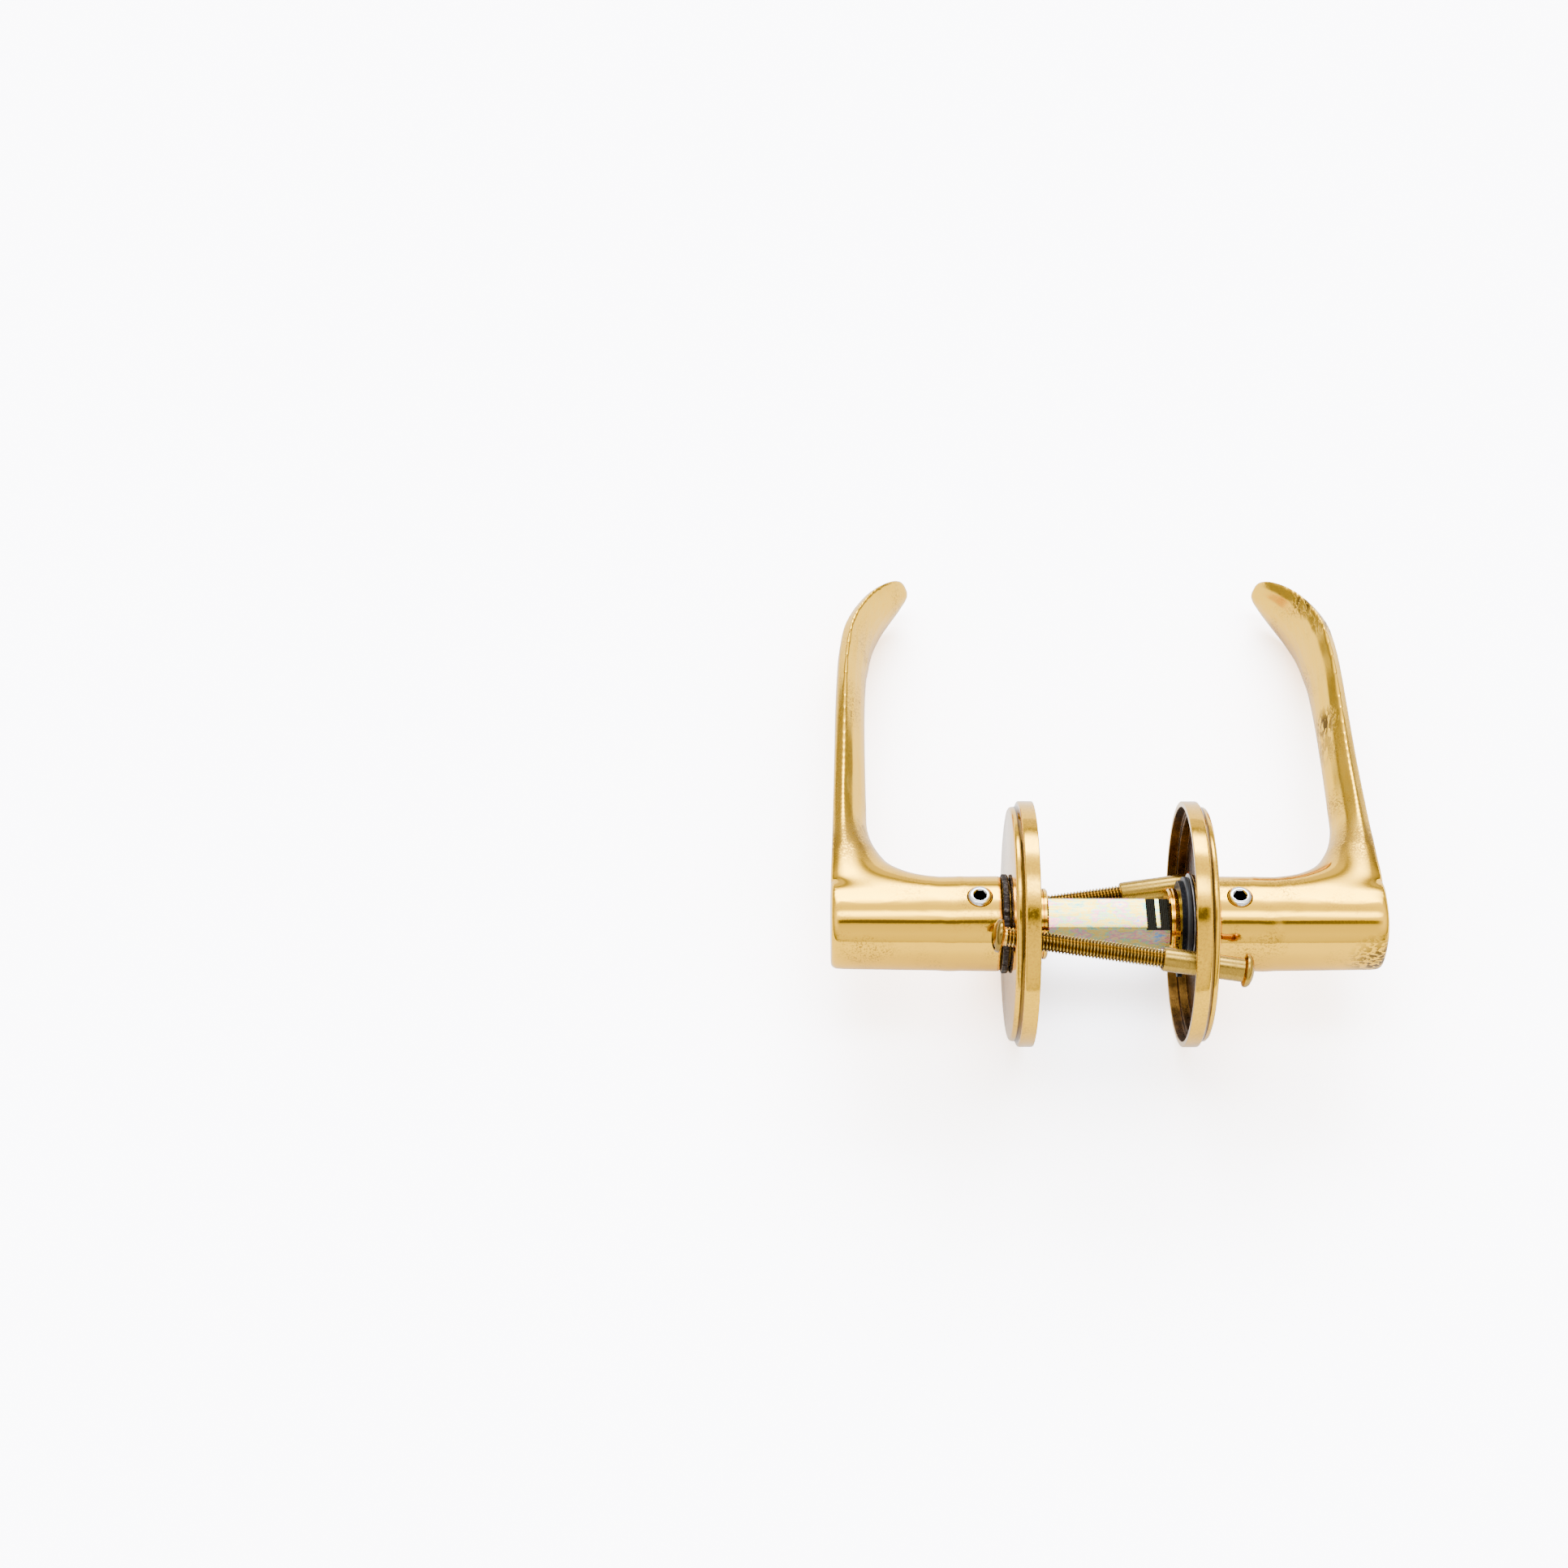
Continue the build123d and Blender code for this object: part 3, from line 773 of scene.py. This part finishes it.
class HANDLE_OT_grub_screws(bpy.types.Operator):
    """Hexagon socket grub screws in the top of each neck"""
    bl_idname = "handle.grub_screws"
    bl_label = "Grub screws"

    def execute(self, context):
        s = sizes()
        foot, top, r = s.spindle_side / 2, s.neck_across / 2 + s.grub_proud, s.grub_radius
        for end, side in SIDES.items():
            rows = [(foot, r - 0.4), (foot + 0.4, r), (top - 0.75, r), (top - 0.45, r - 0.06),
                    (top - 0.2, r - 0.24), (top - 0.05, r - 0.5), (top, r - 0.8)]
            points, faces = upright(side, s.grub_from_shoulder, rows)
            screw = mesh_object(f"hex_grub_screw_{end}", points, faces)
            # 2.5 mm across the flats, with the key's lead-in
            key = ((top - 2.6, 1.443), (top + 1, 1.443))
            lead_in = ((top - 0.3, 1.25), (top + 0.2, 1.75))
            carved(screw, "DIFFERENCE", *upright(side, s.grub_from_shoulder, key, 6))
            carved(screw, "DIFFERENCE", *upright(side, s.grub_from_shoulder, lead_in))
            point = in_lever(side, OUTER_FACE - SHOULDER - s.grub_from_shoulder, 0, 0).tolist()
            up = (0.0, math.sin(s.droop), math.cos(s.droop))
            nickel = bright_nickel(end, point, up, top)
            finished(screw, nickel, "levers", "bright_nickel", f"grub_screw_{end}")
        return {"FINISHED"}


# ---- roses and rings ----------------------------------------------------------------------------
def bolt_spot(end, place):
    """Where a bolt's axis crosses the middle of a rose's plate."""
    s = sizes()
    turn = s.bolt_turn_left if end == "left" else s.bolt_turn_right
    turn += math.pi if place == "rear" else 0
    return Vector((SIDES[end] * (ROSE_FACE - s.rose_wall / 2), s.bolt_circle * math.cos(turn),
                   s.bolt_circle * math.sin(turn)))


class HANDLE_OT_roses(bpy.types.Operator):
    """Stepped round roses and the turned bushes that the levers run in"""
    bl_idname = "handle.roses"
    bl_label = "Roses"

    def execute(self, context):
        s = sizes()
        sheet, bush_metal = pressed_brass(), turned_brass()
        r, wall, step_r = s.rose_radius, s.rose_wall, s.rose_radius - s.rose_step
        band = RIM + s.rose_band
        bore = s.journal_radius + RUNNING_FIT
        bush_r = bore + 1.7
        for end, side in SIDES.items():
            corners = [(RIM, r, 0.2), (band, r, 0.45), (band + 0.1, step_r + 0.35, 0.12),
                       (band + 0.55, step_r, 0.15), (ROSE_FACE, step_r, 0.7),
                       (ROSE_FACE, bush_r, 0), (ROSE_FACE - wall, bush_r, 0),
                       (ROSE_FACE - wall, step_r - wall, 0.2),
                       (band - wall, step_r - wall, 0.25), (band - wall, r - wall, 0.3),
                       (RIM, r - wall, 0.15)]
            outline = [(side * x, q) for x, q in softened(corners)]
            rose = mesh_object(f"stepped_rose_{end}", *turned(outline, 256))
            for place in ("front", "rear"):
                spot = bolt_spot(end, place)
                points, faces = rod([(-3, s.sleeve_radius + 0.4), (3, s.sleeve_radius + 0.4)], 48)
                points = points + np.array((spot.x, spot.y, spot.z))
                carved(rose, "DIFFERENCE", points, faces)
            finished(rose, sheet, "roses", "polished_brass", f"rose_{end}")

            corners = [(BUSH_INNER, bore, 0.1), (BUSH_OUTER, bore, 0.1), (BUSH_OUTER, bush_r, 0.12),
                       (ROSE_FACE - wall, bush_r, 0), (ROSE_FACE - wall, bush_r + 1.2, 0.15),
                       (BUSH_INNER, bush_r + 1.2, 0.3)]
            bush = mesh_object(f"collared_bush_{end}",
                               *turned([(side * x, q) for x, q in softened(corners)], 160))
            finished(bush, bush_metal, "roses", "turned_brass", f"rose_bush_{end}")
        return {"FINISHED"}


class HANDLE_OT_rings(bpy.types.Operator):
    """Outer washers, wavy steel washers, nylon washers and circlips on the levers' journals"""
    bl_idname = "handle.rings"
    bl_label = "Washers and circlips"

    def execute(self, context):
        r = sizes().journal_radius
        dark = worn_steel("Darkened washer steel", colours().washer, srgb("#5C5650"), 0.42)
        spring = worn_steel("Spring steel", srgb("#8B8984"), srgb("#BDBBB5"), 0.26)
        black = worn_steel("Phosphated steel", srgb("#1C1B1C"), srgb("#3A393A"), 0.4)
        nylon = black_nylon()
        for end, side in SIDES.items():
            def ragged(x, q, turn, seed=side * 40.0):
                """Torn edge and uneven faces of the outer washer."""
                wild = noise.noise(Vector((math.cos(turn) * 9, math.sin(turn) * 9, seed)))
                fine = noise.noise(Vector((math.cos(turn) * 24, math.sin(turn) * 24, seed)))
                edge = (q - r) / 3.0
                bend = side * edge * 0.12 * fine * (abs(x) < SHOULDER - 0.7)
                return x + bend, q - edge * abs(0.5 * wild + 0.25 * fine)

            def wavy(x, q, turn):
                """Three low waves of the spring washer, within the room behind the bush."""
                return x - side * 0.12 * (1 - math.cos(3 * turn)) / 2, q

            outer = self.ring(f"worn_washer_{end}", side, WASHER_START, SHOULDER, 3.0, 0.3, 220,
                              ragged)
            finished(outer, dark, "levers", "dark_steel", f"outer_washer_{end}")
            steel = self.ring(f"wavy_washer_{end}", side, STEEL_START + 0.12, STEEL_END, 3.25, 0.1,
                              160, wavy)
            finished(steel, spring, "levers", "spring_steel", f"steel_washer_{end}")
            soft = self.ring(f"nylon_washer_{end}", side, BLACK_START, BLACK_END, 2.5, 0.3, 160)
            finished(soft, nylon, "levers", "black_nylon", f"black_washer_{end}")
            clip = self.circlip(f"eared_circlip_{end}", side)
            finished(clip, black, "levers", "black_steel", f"circlip_{end}")
        return {"FINISHED"}

    def ring(self, name, side, start, stop, width, rounding, count, wobble=None):
        """A flat ring on the journal, from start to stop along it."""
        r = sizes().journal_radius
        corners = [(start, r, 0), (start, r + width, rounding), (stop, r + width, rounding),
                   (stop, r, 0)]
        outline = [(side * x, q) for x, q in softened(corners)]
        return mesh_object(name, *turned(outline, count, wobble))

    def circlip(self, name, side):
        """An external circlip, thicker opposite its gap, with an eared end each side of it."""
        s = sizes()
        groove = s.journal_radius - s.journal_groove
        gap = 3.4 / 2 / (groove + 1.1)
        share = np.linspace(0, 1, 97)
        turns = gap + share * 2 * (math.pi - gap)
        swell = groove + 1.7 + 0.5 * np.sin(share * math.pi)
        inner = np.stack((groove * np.cos(turns), groove * np.sin(turns)), 1)
        outer = np.stack((swell * np.cos(turns), swell * np.sin(turns)), 1)
        ear_r, away = 1.5, groove + 2.2 + 0.6

        def disc(way, radius, count):
            """A round outline about the middle of one of the two ears."""
            turn, turns = way * math.atan2(1.7 + ear_r, away), around(count)
            centre = np.array((math.cos(turn), math.sin(turn))) * away
            return centre + radius * np.stack((np.cos(turns), np.sin(turns)), 1)

        clip = mesh_object(name, *self.plate(side, np.vstack((inner, outer[::-1]))))
        for way in (-1, 1):
            carved(clip, "UNION", *self.plate(side, disc(way, ear_r, 32)))
        for way in (-1, 1):
            carved(clip, "DIFFERENCE", *self.plate(side, disc(way, 0.65, 24), 1.0))
        return clip

    def plate(self, side, flat, more=0.0):
        """A flat outline across the journal as a plate as thick as the circlip, its gap turned to
        where the ears hang."""
        turn = math.radians(240.0)
        along = math.cos(turn) * flat[:, 0] - math.sin(turn) * flat[:, 1]
        up = math.sin(turn) * flat[:, 0] + math.cos(turn) * flat[:, 1]
        return skin([in_lever(side, OUTER_FACE - x, along, up)
                     for x in (CLIP_START - more, CLIP_END + more)])


# ---- spindle and through-bolts ------------------------------------------------------------------
class HANDLE_OT_spindle(bpy.types.Operator):
    """Square spindle with its two sawn marks"""
    bl_idname = "handle.spindle"
    bl_label = "Spindle"

    def execute(self, context):
        s = sizes()
        half, r = s.spindle_side / 2, 0.5
        outline = []
        for start in range(0, 360, 90):
            a = math.radians(start + 45)
            cx, cy = math.copysign(half - r, math.cos(a)), math.copysign(half - r, math.sin(a))
            for turn in np.radians(range(start, start + 91, 15)):
                outline.append((cx + r * math.cos(turn), cy + r * math.sin(turn)))
        outline = np.array(outline)
        reach = s.spindle_length / 2
        rows = [in_lever(1, OUTER_FACE - x, outline[:, 0] * k, outline[:, 1] * k)
                for x, k in ((-reach, 0.93), (-reach + 0.3, 1.0), (reach - 0.3, 1.0),
                             (reach, 0.93))]
        bar = mesh_object("square_spindle", *skin(rows))
        for middle in (NOTCH_MIDDLE - 1.4, NOTCH_MIDDLE + 1.4):
            # the saw leaves five low ridges in the floor of each mark
            x = np.linspace(-1.0, 1.0, 41)
            floor = half - 0.6 + 0.07 * (0.5 + 0.5 * np.cos(x * 5 * math.pi))
            profile = np.array([*zip(middle + x, floor), (middle + 1.0, half + 1),
                                (middle - 1.0, half + 1)])
            rows = [in_lever(1, OUTER_FACE - profile[:, 0], y, profile[:, 1]) for y in (-6.0, 6.0)]
            carved(bar, "DIFFERENCE", *skin(rows))
        finished(bar, zinc_plate(), "levers", "zinc_plate", "spindle")
        return {"FINISHED"}


def head_rows(radius):
    """A slotted head's outline from its crown down to its underside, as (x, r) rows."""
    rows = [(-2.0, 0.05)]
    rows += [(-0.5 - 1.5 * math.cos(t), radius * math.sin(t))
             for t in np.linspace(0.12, math.pi / 2, 14)]
    return rows + [(-0.25, radius), (-0.08, radius - 0.1), (0.0, radius - 0.3)]


def slot_block():
    """The cut for a screwdriver: 1 mm wide and 0.9 mm deep."""
    corners = ((-6.0, -0.5), (6.0, -0.5), (6.0, 0.5), (-6.0, 0.5))
    return skin([[(x, y, z) for y, z in corners] for x in (-3.0, -1.1)])


def threaded_rod(rows_before, start, end, radius, pitch, depth=0.42, count=40, per_turn=8):
    """A rod that carries on from its head's rows with a right-hand thread."""
    turns = around(count)
    rings = [hoop(x, r, turns) for x, r in rows_before]
    steps = int((end - start) / pitch * per_turn)
    for i in range(steps + 1):
        x = start + (end - start) * i / steps
        phase = (x / pitch - turns / (2 * math.pi)) % 1.0
        vee = np.clip(np.abs(2 * phase - 1) * 1.25 - 0.12, 0, 1)
        fade = min(1.0, (x - start) / (0.8 * pitch))
        r = radius - depth * (1 - vee) * fade
        r = np.minimum(r, radius - 0.5 + max(0.0, end - x))
        rings.append(hoop(x, r, turns))
    return skin(rings)


def laid(obj, underside, way):
    """Turns a piece made along the X axis so that it lies along way, from its head's underside."""
    z = (Vector((0, 0, 1)) - way * way.z).normalized()
    turn = Matrix((way, z.cross(way), z)).transposed().to_4x4()
    obj.data.transform(Matrix.Translation(underside * MM) @ turn)
    return obj


class HANDLE_OT_bolts(bpy.types.Operator):
    """Through-bolts: slotted screws from the left, slotted sleeve nuts from the right"""
    bl_idname = "handle.bolts"
    bl_label = "Through-bolts"

    def execute(self, context):
        s = sizes()
        drawn = sleeve_brass()
        for place, standoff in SLEEVE_STANDOFFS.items():
            left, right = bolt_spot("left", place), bolt_spot("right", place)
            way = (right - left).normalized()
            outside_left = (s.screw_standoff + s.rose_wall / 2) / way.x
            outside_right = (standoff + s.rose_wall / 2) / way.x

            screw = mesh_object(f"slotted_screw_{place}", *threaded_rod(
                head_rows(s.head_radius) + [(0.1, s.screw_radius + 0.5), (0.5, s.screw_radius)],
                0.6, SCREW_LENGTH, s.screw_radius, s.screw_pitch))
            carved(screw, "DIFFERENCE", *slot_block())
            laid(screw, left - way * outside_left, way)
            finished(screw, thread_brass(place, left, way), f"screw_{place}", "bolt_brass",
                     f"bolt_screw_{place}", crease=50.0)

            r, bore, size = s.sleeve_radius, s.screw_radius + RUNNING_FIT, s.sleeve_length
            tube = head_rows(s.head_radius) + [
                (0.05, r + 0.35), (0.3, r), (size - 0.35, r), (size - 0.1, r - 0.12),
                (size, r - 0.28), (size, bore + 0.05), (size - 0.3, bore), (0.6, bore),
                (0.6, 0.05)]
            sleeve = mesh_object(f"slotted_sleeve_{place}", *rod(tube, 72))
            carved(sleeve, "DIFFERENCE", *slot_block())
            laid(sleeve, right + way * outside_right, -way)
            finished(sleeve, drawn, f"nut_{place}", "sleeve_brass", f"sleeve_nut_{place}")
        return {"FINISHED"}


# ---- stage --------------------------------------------------------------------------------------
# half the side of the table, mm
TABLE_REACH = 12000.0
TENT_STRENGTH = 20.0
# degrees from the back over the top to the front, and radiance
TENT_BANDS = ((0, 1.6), (12, 1.5), (16, 0.6), (20, 1.6), (24, 6.0), (28, 14.0), (43, 16.0),
              (47, 6.0), (50, 3.0), (58, 2.2), (68, 2.4), (72, 6.0), (76, 11.0), (84, 10.0),
              (88, 4.5), (92, 2.8), (98, 2.0), (100.5, 0.25), (110, 0.2), (113.5, 1.2),
              (118, 1.6), (150, 1.9), (172, 1.7), (184, 1.0), (350, 1.0))


class HANDLE_OT_stage(bpy.types.Operator):
    """Pale table, soft studio light and the camera"""
    bl_idname = "handle.stage"
    bl_label = "Stage"

    def execute(self, context):
        low = min(point[2] for point in FRAME_BOX) / MM
        corners = ((-1, -1), (1, -1), (1, 1), (-1, 1))
        top = mesh_object("table", [(x * TABLE_REACH, y * TABLE_REACH, low) for x, y in corners],
                          [(0, 1, 2, 3)])
        top.data.materials.append(self.table())
        self.light()
        self.camera()
        return {"FINISHED"}

    def table(self):
        """Matt white laminate. It shows itself almost white, while what it throws onto the brass
        stays a soft grey."""
        material = bpy.data.materials.new("Matt white laminate")
        material.use_nodes = True
        tree = material.node_tree
        tree.nodes.remove(tree.nodes["Principled BSDF"])
        # the table's own place is in metres, so this mottle is 60 mm across
        mottle = grain(tree, add(tree, "TexCoord").node.outputs["Object"], 0.06, 2.0)
        shown = add(tree, "Mix", mottle, (3.7, 3.52, 3.42, 1), (3.6, 3.42, 3.32, 1),
                    data_type="RGBA")
        seen = add(tree, "LightPath").node.outputs["Is Camera Ray"]
        mixed = add(tree, "MixShader", seen, add(tree, "BsdfDiffuse", colours().table),
                    add(tree, "BsdfDiffuse", shown))
        tree.links.new(mixed, tree.nodes["Material Output"].inputs["Surface"])
        return material

    def light(self):
        """A soft white tent: bright over the back and the top, dimmer in front, with dark seams."""
        world = bpy.data.worlds.new("Light tent")
        bpy.context.scene.world = world
        world.use_nodes = True
        tree = world.node_tree
        at = add(tree, "TexCoord").node.outputs["Generated"]
        way = add(tree, "SeparateXYZ", at).node.outputs
        turn = add(tree, "Math", way["Z"], way["Y"], operation="ARCTAN2")
        turn = add(tree, "Math", turn, 2 * math.pi, operation="DIVIDE")
        band = add(tree, "ValToRGB", add(tree, "Math", turn, operation="FRACT"))
        stops = []
        for degrees, level in TENT_BANDS:
            # the panels are a cooler white than the rest of the tent
            cool, share = min(1.0, level / 10), level / TENT_STRENGTH
            tint = (share, share * (1 + 0.1 * cool), share * (1 + 0.3 * cool), 1)
            stops.append((degrees / 360, tint))
        filled(band, stops)
        # the tent's two ends have no panels
        ends = add(tree, "MapRange", add(tree, "Math", way["X"], operation="ABSOLUTE"), 0.2, 0.5)
        dim = add(tree, "MapRange", way["Z"], 0.05, 0.8, 0.3 / TENT_STRENGTH, 2.5 / TENT_STRENGTH)
        background = tree.nodes["Background"].inputs
        tree.links.new(add(tree, "Mix", ends, band, dim, data_type="RGBA"), background["Color"])
        background["Strength"].default_value = TENT_STRENGTH

    def camera(self):
        """A long lens from the front and above; the set lies to the right of its middle."""
        data = bpy.data.cameras.new("camera")
        data.sensor_width, data.lens = 36.0, 68.6
        data.clip_start, data.clip_end = 0.05, 20.0
        elevation, distance, yaw = math.radians(62.3), 677.5, math.radians(-0.1)
        origin = Vector((68.2, -47.1, 26.0))
        unturn = Matrix.Rotation(-yaw, 3, "Z")
        eye = unturn @ (distance * Vector((0, -math.cos(elevation), math.sin(elevation))) - origin)
        target = unturn @ -origin
        camera = bpy.data.objects.new("camera", data)
        camera.location = eye * MM
        camera.rotation_euler = (target - eye).to_track_quat("-Z", "Y").to_euler()
        bpy.context.scene.collection.objects.link(camera)
        bpy.context.scene.camera = camera


# ---- add-on -------------------------------------------------------------------------------------
OPERATORS = (HANDLE_OT_levers, HANDLE_OT_grub_screws, HANDLE_OT_roses, HANDLE_OT_rings,
             HANDLE_OT_spindle, HANDLE_OT_bolts, HANDLE_OT_stage)


class HANDLE_PT_panel(bpy.types.Panel):
    """Builds the set piece by piece"""
    bl_label = "Lever handle set"
    bl_idname = "HANDLE_PT_panel"
    bl_space_type = "VIEW_3D"
    bl_region_type = "UI"
    bl_category = "Handles"

    def draw(self, context):
        for operator in OPERATORS:
            self.layout.operator(operator.bl_idname)
        for group in (context.scene.lever_set_sizes, context.scene.lever_set_colours):
            column = self.layout.column()
            for name in group.__annotations__:
                column.prop(group, name)


CLASSES = (LeverSetSizes, LeverSetColours, *OPERATORS, HANDLE_PT_panel)


def register():
    for made in CLASSES:
        bpy.utils.register_class(made)
    bpy.types.Scene.lever_set_sizes = PointerProperty(type=LeverSetSizes)
    bpy.types.Scene.lever_set_colours = PointerProperty(type=LeverSetColours)


def unregister():
    del bpy.types.Scene.lever_set_colours
    del bpy.types.Scene.lever_set_sizes
    for made in reversed(CLASSES):
        bpy.utils.unregister_class(made)


def main():
    register()
    for name in ("levers", "grub_screws", "roses", "rings", "spindle", "bolts", "stage"):
        getattr(bpy.ops.handle, name)()


if __name__ == "__main__":
    main()
